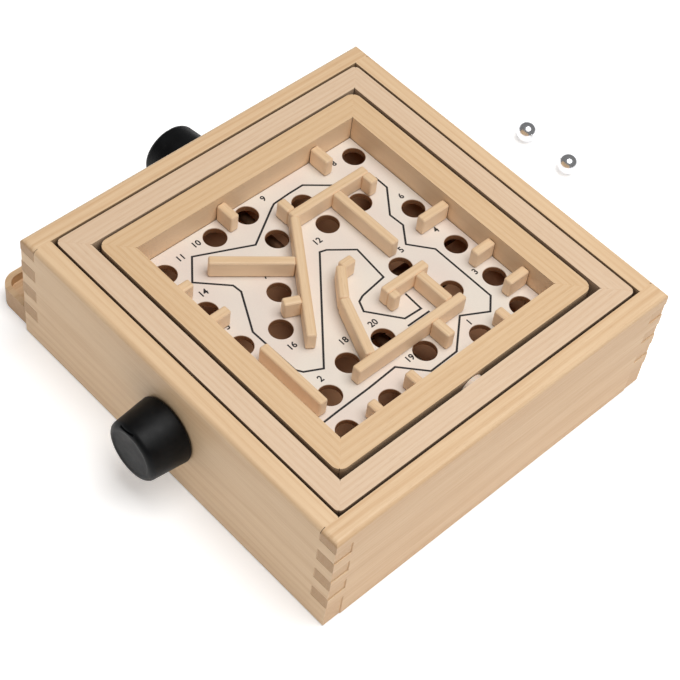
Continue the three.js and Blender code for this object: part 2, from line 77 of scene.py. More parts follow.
# Frames: half of the outer side, half of the inner side, corner radius, shift along X, glue's foot.
RAIL_FRAMES = {"ring": (93.8, 82.3, 3.0, 0.0, 51.3), "board": (80.2, 67.5, 5.0, -0.6, 52.2)}

# The camera looks at TARGET from this far away.
AZIMUTH = math.radians(39.867)
ELEVATION = math.radians(51.611)
ROLL = math.radians(8.8)
DISTANCE = 864.2
TARGET = Vector((-4.9, 8.23, 0))
LENS = 93.94
SENSOR_WIDTH = 36

# Stage, in metres and watts.
FLOOR_HALF = 3
FLOOR_DROP = 0.0004
FLOOR_GLOW = 0.35
WORLD_STRENGTH = 0.21
KEY_PLACE = (0.25, 0.1, 1.2)
KEY_SIZE = 1.0
KEY_POWER = 13.8

# Maze strips: start x, y and end x, y of each strip's middle line, with butt ends.
STRIPS = {
    "left_long": (-42, 3.5, -42, 52),
    "left_top": (-39.6, 49.6, -33, 49.6),
    "left_bar": (-39.6, 30.4, 1, 30.4),
    "left_foot": (-52.2, 5.9, -44.4, 5.9),
    "diagonal_long": (-40.4, 4.6, 17, -37.5),
    "diagonal_branch": (-20.3, -13.3, -45.3, -44.5),
    "diagonal_stub": (-2, -26.7, -5.6, -34.5),
    "right_long": (42.8, 33, 42.8, -35),
    "right_top": (20.7, 26.2, 40.4, 26.2),
    "right_inner": (18.3, 33, 18.3, 6),
    "right_foot": (20.7, 8.4, 25, 8.4),
    "right_stub": (45.2, 12.2, 56, 12.2),
    "front": (7, -57.8, 47, -57.8),
    "stub_left_upper": (-67.8, 41.8, -56, 41.8),
    "stub_left_lower": (-67.8, -17.7, -57, -17.7),
    "stub_back_left": (-2.2, 67.2, -2.2, 50),
    "stub_back_middle": (28.3, 67.2, 28.3, 55),
    "stub_back_right": (50.3, 67.2, 50.3, 54.5),
    "stub_right_upper": (66.6, 39.3, 58.5, 39.3),
    "stub_right_middle": (66.6, -17.7, 58, -17.7),
    "stub_right_lower": (66.6, -41.7, 59, -41.7),
    "stub_front_left": (-40.2, -67.2, -40.2, -59),
    "stub_front_right": (-18.2, -67.2, -18.2, -56),
}
STRIP_NODES = {"left": "maze_wall_left", "diagonal": "maze_wall_diagonal", "right": "maze_wall_right",
               "front": "maze_wall_front"}
BENT_STRIP = [(-5, 8.5), (-5, 1), (10, -11), (40.4, -23.6)]

PATH_LINE = [
    (50.2, -62.4), (49.7, -51.4), (49.2, -31.5), (48.2, -14.6), (60.1, -3.6), (59.6, 13.3), (46, 29.3),
    (53.2, 42.2), (46.7, 49.2), (10.3, 49.2), (-0.6, 40.2), (-10.1, 47.7), (-18.6, 47.2), (-32.5, 58.6),
    (-40.5, 58.6), (-47.5, 54), (-49.4, 39.2), (-58.9, 27.3), (-58.9, 18.3), (-58.4, 8.3), (-56.9, 5.4),
    (-44.5, -15.6), (-57.4, -43.5), (-45.5, -53.4), (-32.5, -40), (-27.5, -39.5), (-6.6, -50.9),
    (21.3, -50.4), (24.3, -48.4), (28.7, -40), (-22.5, 4.9), (-21.5, 8.3), (-12.6, 19.8), (7.3, 17.8),
    (9.3, 2.4), (10.8, -1.1), (16.3, -3.6), (31.2, 8.3), (31.7, 18.3), (20.8, 18.8),
]
SHORT_LINE = [(35.2, 20.3), (35.2, 6.3)]
LINE_WIDTH = 1.0
NUMBERS = {
    (51.5, 30): "1", (32, 54): "3", (2, 58): "4", (0.5, 36): "5", (-24, 60): "6", (-60, 49): "8",
    (-64, 6.5): "9", (-28, 8.5): "12", (-62, -37): "10", (-60, -48): "11", (-37.5, -53.5): "14",
    (-27.5, -25): "7", (-16, -59): "15", (10.5, -42.5): "16", (32, -45): "2", (23, -22.5): "18",
    (49, -6): "19", (24, -5): "20",
}
NUMBER_HEIGHT = 3.3


# ---------------------------------------------------------------- colours and shader nodes

def colour(red, green, blue):
    """A screen colour, 0 to 255, as the linear colour that shaders use."""
    def linear(value):
        value /= 255
        return value / 12.92 if value <= 0.04045 else ((value + 0.055) / 1.055) ** 2.4
    return (linear(red), linear(green), linear(blue), 1)


class Shader:
    """One material and the nodes that feed its Principled shader."""

    def __init__(self, name, **settings):
        self.material = bpy.data.materials.new(name)
        self.material.use_nodes = True
        self.tree = self.material.node_tree
        self.shader = self.tree.nodes["Principled BSDF"]
        for socket, value in settings.items():
            self.shader.inputs[socket.replace("_", " ")].default_value = value

    def node(self, kind, inputs=None, **settings):
        node = self.tree.nodes.new("ShaderNode" + kind)
        for key, value in settings.items():
            setattr(node, key, value)
        for key, value in (inputs or {}).items():
            self.feed(node.inputs[key], value)
        return node

    def feed(self, socket, value):
        if isinstance(value, bpy.types.NodeSocket):
            self.tree.links.new(value, socket)
        else:
            socket.default_value = value

    def math(self, operation, a, b=0.0, c=0.0):
        return self.node("Math", {0: a, 1: b, 2: c}, operation=operation).outputs[0]

    def remap(self, value, low, high, to_low=0.0, to_high=1.0):
        return self.node("MapRange", {"Value": value, "From Min": low, "From Max": high,
                                      "To Min": to_low, "To Max": to_high}).outputs[0]

    def mix(self, factor, a, b, blend="MIX"):
        node = self.node("Mix", {0: factor, 6: a, 7: b}, data_type="RGBA", blend_type=blend)
        return node.outputs[2]

    def noise(self, vector, scale, detail=2.0, roughness=0.5, distortion=0.0):
        return self.node("TexNoise", {"Vector": vector, "Scale": scale, "Detail": detail,
                                      "Roughness": roughness, "Distortion": distortion}).outputs["Fac"]

    def stretched(self, vector, scale):
        return self.node("VectorMath", {0: vector, 1: scale}, operation="MULTIPLY").outputs[0]

    def position(self, angle=0.0, shift=(0, 0, 0)):
        """The place on the object in mm, turned so that its X runs along angle."""
        place = self.node("TexCoord").outputs["Object"]
        turned = self.node("VectorRotate", {"Vector": place, "Angle": -angle}, rotation_type="Z_AXIS")
        in_mm = self.stretched(turned.outputs[0], (1 / MM, 1 / MM, 1 / MM))
        return self.node("VectorMath", {0: in_mm, 1: shift}, operation="ADD").outputs[0]

    def edges(self, radius, low=0.985, high=0.9):
        """1 on edges that hands rub, 0 on flats."""
        rounded = self.node("Bevel", {"Radius": radius * MM}, samples=4).outputs[0]
        flat = self.node("NewGeometry").outputs["Normal"]
        facing = self.node("VectorMath", {0: rounded, 1: flat}, operation="DOT_PRODUCT").outputs["Value"]
        return self.remap(facing, low, high)

    def crevices(self, reach=8.0, open_value=0.36, closed_value=0.1):
        """0 in the open, 1 deep in a narrow gap: the mask for painted shade in gaps and corners."""
        open_air = self.node("AmbientOcclusion", {"Distance": reach * MM}, samples=8).outputs["AO"]
        return self.remap(open_air, open_value, closed_value)

    def bump(self, height, strength, distance):
        bump = self.node("Bump", {"Height": height, "Strength": strength, "Distance": distance * MM})
        self.feed(self.shader.inputs["Normal"], bump.outputs[0])

    def finish(self, base, roughness):
        self.feed(self.shader.inputs["Base Color"], base)
        self.feed(self.shader.inputs["Roughness"], roughness)
        return self.material


def wood(name, pale, deep, end, angle=0.0, shift=(0, 0, 0), ring_spacing=3.4, contrast=1.0,
         painted_gap_shade=0.85, painted_side_weight=0.0, painted_side_tone=(255, 226, 192)):
    """Sawn and sanded pale wood with its grain along angle in the XY plane."""
    s = Shader(name, Specular_IOR_Level=0.4, Coat_Weight=0.06, Coat_Roughness=0.35)
    place = s.position(angle, shift)

    # Growth rings, wavering along the plank.
    slow = s.stretched(place, (1 / 9, 1, 1))
    ring_scale = 0.314 / ring_spacing
    rings = s.node("TexWave", {"Vector": slow, "Scale": ring_scale, "Distortion": 5.0, "Detail": 2.0,
                               "Detail Scale": 0.9, "Detail Roughness": 0.55},
                   wave_type="RINGS", rings_direction="X", wave_profile="SIN").outputs["Fac"]
    late_wood = s.remap(rings, 0.35, 1.0)

    # Fibres, pores and broad patches.
    fibres = s.noise(s.stretched(place, (1 / 40, 1.3, 1.3)), 1.0, 4.0, 0.6)
    pores = s.remap(s.noise(s.stretched(place, (1 / 6, 3.2, 3.2)), 1.0, 2.0, 0.5), 0.6, 0.78)
    patches = s.remap(s.noise(s.stretched(place, (1 / 110, 1 / 16, 1 / 16)), 1.0, 2.0, 0.5), 0.3, 0.7)

    grain = s.math("MULTIPLY", late_wood, 0.42 * contrast)
    streaks = s.remap(fibres, 0.3, 0.7, -0.18 * contrast, 0.42 * contrast)
    depth = s.math("ADD", s.math("ADD", grain, streaks), s.math("MULTIPLY", patches, 0.25 * contrast))
    base = s.mix(s.remap(depth, 0.0, 1.0), pale, deep)
    base = s.mix(s.math("MULTIPLY", pores, 0.3), base, end)

    # End grain is darker, where the surface faces along the grain.
    normal = s.node("TexCoord").outputs["Normal"]
    along = (math.cos(angle), math.sin(angle), 0)
    facing = s.node("VectorMath", {0: normal, 1: along}, operation="DOT_PRODUCT").outputs["Value"]
    end_face = s.remap(s.math("ABSOLUTE", facing), 0.7, 0.92)
    speckle = s.remap(s.noise(s.stretched(place, (2, 2, 2)), 1.0, 3.0, 0.6), 0.3, 0.75, 0.55, 1.0)
    base = s.mix(s.math("MULTIPLY", end_face, speckle), base, end)

    # Side faces are mixed towards a tone of their own beside the top: painted light where that tone is
    # paler, painted shade where it is darker.
    upright = s.node("SeparateXYZ", {0: normal}).outputs[2]
    side = s.remap(s.math("ABSOLUTE", upright), 0.8, 0.3)
    base = s.mix(s.math("MULTIPLY", side, painted_side_weight), base, colour(*painted_side_tone))

    # Handled edges are a little polished and paler.
    worn = s.edges(0.9)
    base = s.mix(s.math("MULTIPLY", worn, 0.22), base, pale)
    # Painted shade: darker towards GAP_SHADE in narrow gaps and corners, found by ambient occlusion.
    base = s.mix(s.math("MULTIPLY", s.crevices(), painted_gap_shade), base, GAP_SHADE)
    rough = s.remap(fibres, 0.2, 0.8, 0.42, 0.62)
    rough = s.math("SUBTRACT", rough, s.math("MULTIPLY", worn, 0.08))
    height = s.math("SUBTRACT", s.math("ADD", fibres, s.math("MULTIPLY", late_wood, 0.4)), pores)
    s.bump(height, 0.3, 0.12)
    return s.finish(base, rough)


def plywood(name, face, deep, core):
    """Thin plywood: a plain face and glue lines round the edges."""
    s = Shader(name, Specular_IOR_Level=0.3)
    place = s.position()
    fibres = s.noise(s.stretched(place, (1 / 30, 1.2, 1.2)), 1.0, 4.0, 0.6)
    patches = s.noise(s.stretched(place, (1 / 60, 1 / 12, 1 / 12)), 1.0, 2.0)
    base = s.mix(s.math("MULTIPLY", s.math("ADD", fibres, patches), 0.5), face, deep)
    plies = s.node("TexWave", {"Vector": place, "Scale": 0.37, "Distortion": 0.6, "Detail Scale": 0.2},
                   wave_type="BANDS", bands_direction="Z").outputs["Fac"]
    normal = s.node("TexCoord").outputs["Normal"]
    upright = s.node("SeparateXYZ", {0: normal}).outputs[2]
    side = s.remap(s.math("ABSOLUTE", upright), 0.8, 0.3)
    layered = s.mix(s.remap(plies, 0.35, 0.65), deep, core)
    base = s.mix(side, base, layered)
    worn = s.edges(0.5)
    base = s.mix(s.math("MULTIPLY", worn, 0.25), base, core)
    # Painted shade: darker towards GAP_SHADE in narrow gaps and corners, found by ambient occlusion.
    base = s.mix(s.math("MULTIPLY", s.crevices(), 0.65), base, GAP_SHADE)
    s.bump(fibres, 0.3, 0.1)
    return s.finish(base, s.remap(fibres, 0.2, 0.8, 0.55, 0.75))


def paper(name):
    """Printed, lightly coated sheet, a little yellowed towards its edges."""
    s = Shader(name, Specular_IOR_Level=0.35)
    place = s.position()
    pulp = s.noise(s.stretched(place, (1.6, 1.6, 1.6)), 1.0, 5.0, 0.65)
    cloud = s.noise(s.stretched(place, (1 / 30, 1 / 30, 1 / 30)), 1.0, 2.0)
    base = s.mix(s.remap(cloud, 0.35, 0.65), colour(224, 215, 203), colour(222, 208, 197))
    base = s.mix(s.remap(pulp, 0.45, 0.8, 0.0, 0.25), base, colour(206, 192, 178))
    worn = s.edges(0.4)
    base = s.mix(s.math("MULTIPLY", worn, 0.35), base, colour(176, 146, 116))
    s.bump(pulp, 0.15, 0.04)
    return s.finish(base, s.remap(pulp, 0.3, 0.7, 0.5, 0.65))


def ink(name):
    s = Shader(name, Specular_IOR_Level=0.3)
    place = s.position()
    spread = s.noise(s.stretched(place, (2.5, 2.5, 2.5)), 1.0, 3.0, 0.6)
    base = s.mix(s.remap(spread, 0.45, 0.8), colour(30, 27, 27), colour(66, 61, 60))
    s.bump(spread, 0.1, 0.02)
    return s.finish(base, s.remap(spread, 0.3, 0.7, 0.45, 0.6))


def moulded_plastic(name):
    """Black moulded plastic with a fine spark texture and rubbed edges."""
    s = Shader(name, Specular_IOR_Level=0.15)
    place = s.position()
    spark = s.noise(s.stretched(place, (4.5, 4.5, 4.5)), 1.0, 2.0, 0.6)
    cloud = s.noise(s.stretched(place, (1 / 6, 1 / 6, 1 / 6)), 1.0, 3.0, 0.6)
    base = s.mix(s.remap(cloud, 0.35, 0.7), colour(9, 9, 10), colour(15, 16, 17))
    worn = s.edges(0.8)
    base = s.mix(s.math("MULTIPLY", worn, 0.5), base, colour(36, 38, 40))
    rough = s.remap(cloud, 0.3, 0.7, 0.4, 0.52)
    s.bump(spark, 0.25, 0.08)
    return s.finish(base, rough)


def nylon(name):
    s = Shader(name, Specular_IOR_Level=0.45, Subsurface_Weight=0.1, Subsurface_Scale=0.001)
    place = s.position()
    cloud = s.noise(s.stretched(place, (1 / 3, 1 / 3, 1 / 3)), 1.0, 3.0)
    base = s.mix(cloud, colour(224, 206, 188), colour(206, 186, 166))
    worn = s.edges(0.4)
    base = s.mix(s.math("MULTIPLY", worn, 0.4), base, colour(246, 240, 228))
    s.bump(cloud, 0.1, 0.05)
    return s.finish(base, s.remap(cloud, 0.3, 0.7, 0.4, 0.55))


def metal(name, bright, dull, rough_low, rough_high, lines=(1, 1, 1)):
    s = Shader(name, Metallic=1.0)
    place = s.position()
    brushed = s.noise(s.stretched(place, lines), 1.0, 4.0, 0.6)
    smudge = s.noise(s.stretched(place, (1 / 4, 1 / 4, 1 / 4)), 1.0, 2.0)
    base = s.mix(s.remap(smudge, 0.35, 0.75), bright, dull)
    worn = s.edges(0.3)
    base = s.mix(s.math("MULTIPLY", worn, 0.4), base, bright)
    s.bump(brushed, 0.06, 0.02)
    rough = s.remap(s.math("ADD", brushed, smudge), 0.7, 1.3, rough_low, rough_high)
    return s.finish(base, rough)


def twisted_cord(name):
    s = Shader(name, Sheen_Weight=0.3, Specular_IOR_Level=0.2)
    place = s.position()
    twist = s.node("TexWave", {"Vector": place, "Scale": 0.5, "Distortion": 1.0},
                   wave_type="BANDS", bands_direction="DIAGONAL").outputs["Fac"]
    fuzz = s.noise(s.stretched(place, (5, 5, 5)), 1.0, 3.0, 0.7)
    base = s.mix(twist, colour(70, 50, 36), colour(104, 80, 58))
    s.bump(s.math("ADD", twist, s.math("MULTIPLY", fuzz, 0.4)), 0.5, 0.1)
    return s.finish(base, s.remap(fuzz, 0.3, 0.7, 0.75, 0.95))


def floor_surface(name):
    s = Shader(name, Specular_IOR_Level=0.1, Emission_Color=(1, 1, 1, 1), Emission_Strength=FLOOR_GLOW)
    place = s.position()
    cloud = s.noise(s.stretched(place, (1 / 300, 1 / 300, 1 / 300)), 1.0, 2.0)
    base = s.mix(cloud, colour(250, 250, 250), colour(253, 253, 253))
    return s.finish(base, 0.9)


# ---------------------------------------------------------------- mesh helpers

def new_piece(name, mesh, body, slot, *replaced):
    piece = bpy.data.objects.new(name, mesh)
    bpy.context.scene.collection.objects.link(piece)
    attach(piece, body)
    if replaced:
        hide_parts(*replaced)
    return piece


def mesh_from(name, build):
    mesh = bpy.data.meshes.new(name)
    shape = bmesh.new()
    build(shape)
    bmesh.ops.recalc_face_normals(shape, faces=shape.faces)
    shape.to_mesh(mesh)
    shape.free()
    mesh.shade_smooth()
    return mesh


def smooth_group():
    """A node group that shades every face of what it is given smooth."""
    group = bpy.data.node_groups.new("shade_smooth", "GeometryNodeTree")
    group.interface.new_socket("Geometry", in_out="INPUT", socket_type="NodeSocketGeometry")
    group.interface.new_socket("Geometry", in_out="OUTPUT", socket_type="NodeSocketGeometry")
    source = group.nodes.new("NodeGroupInput")
    smooth = group.nodes.new("GeometryNodeSetShadeSmooth")
    result = group.nodes.new("NodeGroupOutput")
    group.links.new(source.outputs[0], smooth.inputs[0])
    group.links.new(smooth.outputs[0], result.inputs[0])
    return group


SMOOTH = smooth_group()


def soften(piece, width, segments=3, angle=35):
    """Rounds a piece's edges and shades it smoothly."""
    merge = piece.modifiers.new("merge", "DECIMATE")
    merge.decimate_type = "DISSOLVE"
    merge.angle_limit = math.radians(1)
    shade = piece.modifiers.new("shade", "NODES")
    shade.node_group = SMOOTH
    if width:
        bevel = piece.modifiers.new("bevel", "BEVEL")
        bevel.width = width * MM
        bevel.segments = segments
        bevel.limit_method = "ANGLE"
        bevel.angle_limit = math.radians(angle)
        bevel.use_clamp_overlap = True
        bevel.miter_outer = "MITER_ARC"
    weighted = piece.modifiers.new("weighted", "WEIGHTED_NORMAL")
    weighted.keep_sharp = False
    weighted.weight = 60


def paint(piece, material):
    mesh = piece.data
    mesh.materials.clear()
    mesh.materials.append(material)


def dress(names, material, width=0.0, segments=3):
    """Gives CAD nodes a material and soft edges."""
    for name in names:
        paint(NODES[name], material)
        soften(NODES[name], width, segments)


# ---------------------------------------------------------------- materials used

END_GRAIN = colour(168, 128, 88)
PALE_END_GRAIN = colour(204, 164, 122)
GAP_SHADE = colour(62, 36, 18)
CASE_PALE, CASE_DEEP = colour(230, 198, 159), colour(208, 168, 125)
RING_PALE, RING_DEEP = colour(225, 197, 167), colour(206, 169, 134)
BOARD_PALE, BOARD_DEEP = colour(224, 191, 151), colour(203, 162, 116)
STRIP_PALE, STRIP_DEEP = colour(227, 196, 158), colour(209, 171, 128)
STRIP_END = colour(160, 118, 80)
# A darker tone for the side faces of the case's left and right walls, tray and ramp support: painted
# shade.
CASE_SIDE_PAINTED_SHADE = (198, 158, 114)
QUARTER = math.pi / 2

case_x = wood("case_wood_x", CASE_PALE, CASE_DEEP, PALE_END_GRAIN, 0, (40, 58, -47), 3.4, 0.65)
case_y = wood("case_wood_y", CASE_PALE, CASE_DEEP, END_GRAIN, QUARTER, (90, -49, -71), 4.6, 0.9,
              painted_side_weight=0.3, painted_side_tone=CASE_SIDE_PAINTED_SHADE)
ring_x = wood("ring_wood_x", RING_PALE, RING_DEEP, END_GRAIN, 0, (10, 31, -90), 2.6, 0.6)
ring_y = wood("ring_wood_y", RING_PALE, RING_DEEP, END_GRAIN, QUARTER, (60, 24, -88), 2.6, 0.6)
# The board's side faces are mixed half way towards a paler tone: painted light.
board_x = wood("board_wood_x", BOARD_PALE, BOARD_DEEP, END_GRAIN, 0, (20, -33, -75), 3.0, 0.65,
               painted_side_weight=0.5)
board_y = wood("board_wood_y", BOARD_PALE, BOARD_DEEP, END_GRAIN, QUARTER, (75, 44, -79), 3.0, 0.65,
               painted_side_weight=0.5)
ply = plywood("plywood", colour(234, 180, 136), colour(214, 158, 116), colour(150, 104, 70))
# The board's panel takes a darker copy of the plywood, so that its hole walls are dark: painted shade.
panel_ply = plywood("panel_plywood_painted_shade", colour(204, 160, 118), colour(170, 122, 84), colour(116, 76, 50))
sheet_paper = paper("sheet_paper")
black_ink = ink("black_ink")
black_plastic = moulded_plastic("black_plastic")
washer_nylon = nylon("washer_nylon")
pin_steel = metal("pin_steel", colour(196, 190, 180), colour(160, 154, 146), 0.45, 0.65, (0.5, 0.5, 4))
shaft_steel = metal("shaft_steel", colour(156, 124, 96), colour(126, 98, 74), 0.7, 0.85, (0.5, 0.5, 4))
ball_steel = metal("ball_steel", colour(240, 240, 242), colour(222, 223, 226), 0.12, 0.26)
eye_brass = metal("eye_brass", colour(222, 186, 116), colour(176, 138, 76), 0.25, 0.45)
drive_cord = twisted_cord("drive_cord")


# ---------------------------------------------------------------- case and frames

def dress_case():
    dress(["case_wall_front", "case_wall_back"], case_x, CASE_BEVEL)
    dress(["case_wall_left", "case_wall_right"], case_y, CASE_BEVEL)
    dress(["ball_tray"], case_y, 0.8)
    dress(["ramp_support"], case_y, 0.4)
    dress(["base_panel", "ball_ramp"], ply, 0.3)


def dress_frames():
    for frame_name, (along_x, along_y) in {"ring": (ring_x, ring_y), "board": (board_x, board_y)}.items():
        dress([f"{frame_name}_rail_front", f"{frame_name}_rail_back"], along_x, RAIL_BEVEL)
        dress([f"{frame_name}_rail_left", f"{frame_name}_rail_right"], along_y, RAIL_BEVEL)


GLUE_HALF = 0.14      # half of a joint's hairline
GLUE_FLARE = 0.42     # half width at the top, across the softened edges
GLUE_SINK = 0.05      # below the case's top
CASE_SEAM_FOOT = 60
BLOCK_HEIGHT = CASE_TOP - CASE_ROUND - 0.6
BLOCK_FOOT = 0.1
BLOCK_INNER = CASE_INNER + 0.4
BLOCK_ROOT = CASE_INNER - 0.5
BLOCK_FACE = CASE_HALF - 0.12
BLOCK_RECESS = CASE_HALF - 0.45


def glue_line(name, body, slot, material, start, end, bottom):
    """Dried glue filling the hairline joint between two pieces of wood, sanded flush."""
    def build(shape):
        along = (Vector(end) - Vector(start)).normalized()
        across = Vector((-along.y, along.x))
        top = CASE_TOP - GLUE_SINK
        section = [(-GLUE_HALF, bottom), (GLUE_HALF, bottom), (GLUE_HALF, top - RAIL_BEVEL),
                   (GLUE_FLARE, top), (-GLUE_FLARE, top), (-GLUE_HALF, top - RAIL_BEVEL)]
        rows = [[shape.verts.new(((Vector(point) + across * side) * MM).to_3d() + Vector((0, 0, z * MM)))
                 for side, z in section] for point in (start, end)]
        for k in range(len(section)):
            following = (k + 1) % len(section)
            shape.faces.new((rows[0][k], rows[0][following], rows[1][following], rows[1][k]))
        shape.faces.new(rows[0])
        shape.faces.new(rows[1])
    mesh = mesh_from(name, build)
    mesh.shade_flat()
    paint(new_piece(name, mesh, body, slot), material)


def corner_block(name, x_side, y_side):
    """The glued heart of a finger joint, which fills its hairlines just under the faces."""
    blocks = ((BLOCK_ROOT, BLOCK_RECESS, BLOCK_INNER, BLOCK_FACE),
              (BLOCK_INNER, BLOCK_RECESS, BLOCK_ROOT, BLOCK_FACE),
              (BLOCK_INNER, BLOCK_FACE, BLOCK_ROOT, CASE_INNER))

    def build(shape):
        for x_low, x_high, y_low, y_high in blocks:
            centre = (x_side * (x_low + x_high) / 2, y_side * (y_low + y_high) / 2,
                      BLOCK_HEIGHT / 2 + BLOCK_FOOT)
            size = Matrix.Diagonal(((x_high - x_low) * MM, (y_high - y_low) * MM, BLOCK_HEIGHT * MM, 1))
            bmesh.ops.create_cube(shape, size=1, matrix=Matrix.Translation(Vector(centre) * MM) @ size)
    mesh = mesh_from(name, build)
    mesh.shade_flat()
    paint(new_piece(name, mesh, "case", "case_wood"), case_x)


def make_glue():
    corners = [(x, y) for x in (-1, 1) for y in (-1, 1)]
    for x_side, y_side in corners:
        corner = ("left" if x_side < 0 else "right") + ("_front" if y_side < 0 else "_back")
        for frame_name, (outer, inner, radius, shift, bottom) in RAIL_FRAMES.items():
            reach = outer - radius * (1 - math.sqrt(0.5)) - 0.25
            start, end = [(shift + x_side * half, y_side * half) for half in (inner + 0.25, reach)]
            material = ring_x if frame_name == "ring" else board_x
            glue_line(f"{frame_name}_glue_{corner}", frame_name, f"{frame_name}_wood", material,
                      start, end, bottom)
        seam = x_side * (CASE_INNER - 0.15)
        glue_line(f"case_glue_{corner}", "case", "case_wood", case_x, (seam, y_side * (CASE_INNER + 0.3)),
                  (seam, y_side * (CASE_HALF - CASE_ROUND)), CASE_SEAM_FOOT)
        corner_block(f"case_corner_{corner}", x_side, y_side)


def dress_fittings():
    dress([name for name in NODES if "pivot_pin" in name], pin_steel, 0.2, 2)
    dress([name for name in NODES if name.startswith("shaft_")], shaft_steel, 0.25, 2)
    dress([name for name in NODES if "spacer" in name], washer_nylon, 0.15, 2)
    dress([name for name in NODES if "screw_eye" in name], eye_brass)
    dress([name for name in NODES if name.endswith("_spring")], pin_steel)
    cords = [name for name in NODES if "_cord_" in name and not name.endswith("_spring")]
    dress(cords + [name for name in NODES if name.startswith("cord_winding")], drive_cord)


# ---------------------------------------------------------------- board

def hole_centres():
    openings = RECORD["physics"]["openings"]
    holes = [opening["box_m"] for opening in openings if opening["name"].startswith("drop_hole")]
    return [((low[0] + high[0]) / 2, (low[1] + high[1]) / 2) for low, high in holes]


def perforated_plate(name, node, bottom, top, radius):
    """A plate the size of a CAD node, with round holes, as a closed mesh."""
    low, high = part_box(node)
    outline = bpy.data.curves.new(name, "CURVE")
    outline.dimensions = "2D"
    outline.fill_mode = "BOTH"
    outline.extrude = (top - bottom) / 2 * MM
    corners = [(low.x, low.y), (high.x, low.y), (high.x, high.y), (low.x, high.y)]
    loops = [corners]
    for x, y in hole_centres():
        turn = [2 * math.pi * k / HOLE_SIDES for k in range(HOLE_SIDES)]
        loops.append([(x + radius * MM * math.cos(a), y + radius * MM * math.sin(a)) for a in turn])
    for points in loops:
        spline = outline.splines.new("POLY")
        spline.points.add(len(points) - 1)
        for point, (x, y) in zip(spline.points, points):
            point.co = (x, y, 0, 1)
        spline.use_cyclic_u = True
    holder = bpy.data.objects.new(name, outline)
    mesh = bpy.data.meshes.new_from_object(holder)
    bpy.data.objects.remove(holder)
    bpy.data.curves.remove(outline)
    mesh.transform(Matrix.Translation((0, 0, (top + bottom) / 2 * MM)))
    shape = bmesh.new()
    shape.from_mesh(mesh)
    bmesh.ops.remove_doubles(shape, verts=shape.verts, dist=1e-6)
    bmesh.ops.recalc_face_normals(shape, faces=shape.faces)
    shape.to_mesh(mesh)
    shape.free()
    return mesh


def make_board():
    panel = perforated_plate("maze_panel", "maze_board", PANEL_TOP - PANEL_THICK, PANEL_TOP, HOLE_RADIUS)
    piece = new_piece("maze_panel", panel, "board", "plywood", "maze_board")
    paint(piece, panel_ply)
    soften(piece, 0.12, 1)
    sheet = perforated_plate("printed_sheet", "maze_sheet", SHEET_TOP - SHEET_THICK, SHEET_TOP,
                             HOLE_RADIUS + 0.1)
    piece = new_piece("printed_sheet", sheet, "board", "paper", "maze_sheet")
    paint(piece, sheet_paper)
    soften(piece, 0.06, 1)


# ---------------------------------------------------------------- printed line and numbers

def offset_sides(points, half):
    """Left and right edges of a ribbon along points, mitred at its corners."""
    sides = []
    count = len(points)
    for index, point in enumerate(points):
        before = points[max(index - 1, 0)]
        after = points[min(index + 1, count - 1)]
        incoming = (Vector(point) - Vector(before)) if index else (Vector(after) - Vector(point))
        outgoing = (Vector(after) - Vector(point)) if index < count - 1 else incoming
        normals = [Vector((-v.y, v.x)).normalized() for v in (incoming, outgoing)]
        mitre = (normals[0] + normals[1]).normalized()
        reach = half / max(mitre.dot(normals[0]), 0.5)
        sides.append((Vector(point) + mitre * reach, Vector(point) - mitre * reach))
    return sides


def ribbon(points, width, bottom, top):
    def build(shape):
        sides = offset_sides(points, width / 2)
        rows = []
        for left, right in sides:
            rows.append([shape.verts.new((v.x * MM, v.y * MM, z * MM))
                         for v, z in ((left, top), (right, top), (right, bottom), (left, bottom))])
        for first, second in zip(rows, rows[1:]):
            for k in range(4):
                shape.faces.new((first[k], first[(k + 1) % 4], second[(k + 1) % 4], second[k]))
        shape.faces.new(rows[0])
        shape.faces.new(rows[-1])
    return build


def make_print():
    for name, points in {"path_line": PATH_LINE, "path_line_short": SHORT_LINE}.items():
        mesh = mesh_from(name, ribbon(points, LINE_WIDTH, SHEET_TOP, SHEET_TOP + INK_THICK))
        mesh.shade_flat()
        paint(new_piece(name, mesh, "board", "knob_plastic"), black_ink)
    make_numbers()


def make_numbers():
    """The hole numbers, read from the right-hand side of the board."""
    numbers = bmesh.new()
    for (x, y), digits in NUMBERS.items():
        text = bpy.data.curves.new("number", "FONT")
        text.body = digits
        text.size = NUMBER_HEIGHT / 0.7 * MM
        text.align_x = "CENTER"
        text.align_y = "CENTER"
        text.extrude = INK_THICK / 2 * MM
        text.resolution_u = 3
        text.offset = 0.12 * MM
        holder = bpy.data.objects.new("number", text)
        mesh = bpy.data.meshes.new_from_object(holder)
        place = Matrix.Translation(Vector((x, y, SHEET_TOP + INK_THICK / 2)) * MM)
        mesh.transform(place @ Matrix.Rotation(QUARTER, 4, "Z"))
        numbers.from_mesh(mesh)
        bpy.data.objects.remove(holder)
        bpy.data.curves.remove(text)
        bpy.data.meshes.remove(mesh)
    mesh = bpy.data.meshes.new("hole_numbers")
    bmesh.ops.remove_doubles(numbers, verts=numbers.verts, dist=1e-7)
    numbers.to_mesh(mesh)
    numbers.free()
    paint(new_piece("hole_numbers", mesh, "board", "knob_plastic"), black_ink)


# ---------------------------------------------------------------- maze strips

